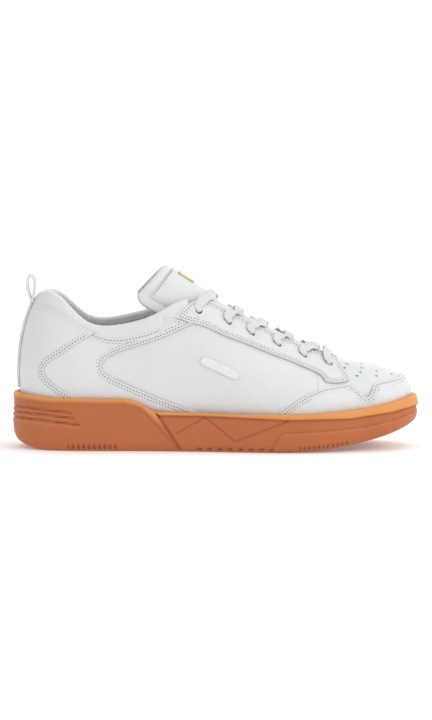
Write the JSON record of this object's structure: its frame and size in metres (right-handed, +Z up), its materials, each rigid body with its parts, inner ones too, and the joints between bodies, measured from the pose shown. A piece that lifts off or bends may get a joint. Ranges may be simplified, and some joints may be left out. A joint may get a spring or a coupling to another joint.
{
  "type": "court shoe",
  "caption": "Low-top laced court shoe for the right foot with a layered leather upper, a padded collar and tongue, a heel pull loop and a gum rubber cup sole.",
  "frame": {"origin": "centre of the bounding box in plan, on the ground plane under the sole", "axes": "+X to the toe, +Y to the medial (inner) side of a right shoe, +Z up"},
  "size_m": [0.298, 0.1118, 0.135],
  "materials": {
    "white_leather": "smooth white full-grain leather",
    "white_lining": "fine white textile lining",
    "white_webbing": "woven white cotton",
    "gum_rubber": "satin gum rubber",
    "foam": "matte foam",
    "board": "non-woven board",
    "white_plastic": "satin white plastic",
    "gold_foil": "gold foil print"
  },
  "bodies": {
    "shoe": {"aglet_lateral": "white_plastic", "aglet_medial": "white_plastic", "badge_lateral": "white_webbing", "badge_medial": "white_webbing", "collar_foam": "foam", "collar_lining": "white_lining", "eyelet_ring_lateral": "white_plastic", "eyelet_ring_medial": "white_plastic", "eyestay_lateral": "white_leather", "eyestay_medial": "white_leather", "heel_counter": "board", "heel_overlay": "white_leather", "heel_strip": "white_webbing", "insole_cover": "white_lining", "insole_foam": "foam", "lace": "white_webbing", "midsole_foam": "foam", "outsole_cup": "gum_rubber", "quarter_lateral": "white_leather", "quarter_lining_lateral": "white_lining", "quarter_lining_medial": "white_lining", "quarter_medial": "white_leather", "rear_quarter_lateral": "white_leather", "rear_quarter_medial": "white_leather", "strobel_board": "board", "toe_overlay": "white_leather", "toe_puff": "board", "tongue_face": "white_leather", "tongue_foam": "foam", "tongue_lining": "white_lining", "vamp": "white_leather", "vamp_lining": "white_lining"},
    "tongue_top": {"tongue_top_face": "white_leather", "tongue_top_foam": "foam", "tongue_top_lining": "white_lining", "tongue_label": "gold_foil"},
    "pull_loop": {"pull_loop": "white_webbing"}
  },
  "joints": [
    {"name": "tongue_top", "type": "hinge", "parent": "shoe", "child": "tongue_top", "pos_m": [-0.0096, 0.0019, 0.1168], "axis": [0, 1, 0], "range_deg": [-8, 30], "stiffness_Nm_per_rad": 0.08},
    {"name": "pull_loop", "type": "hinge", "parent": "shoe", "child": "pull_loop", "pos_m": [-0.1348, 0.001, 0.1072], "axis": [0, 1, 0], "range_deg": [-30, 12], "stiffness_Nm_per_rad": 0.004}
  ]
}
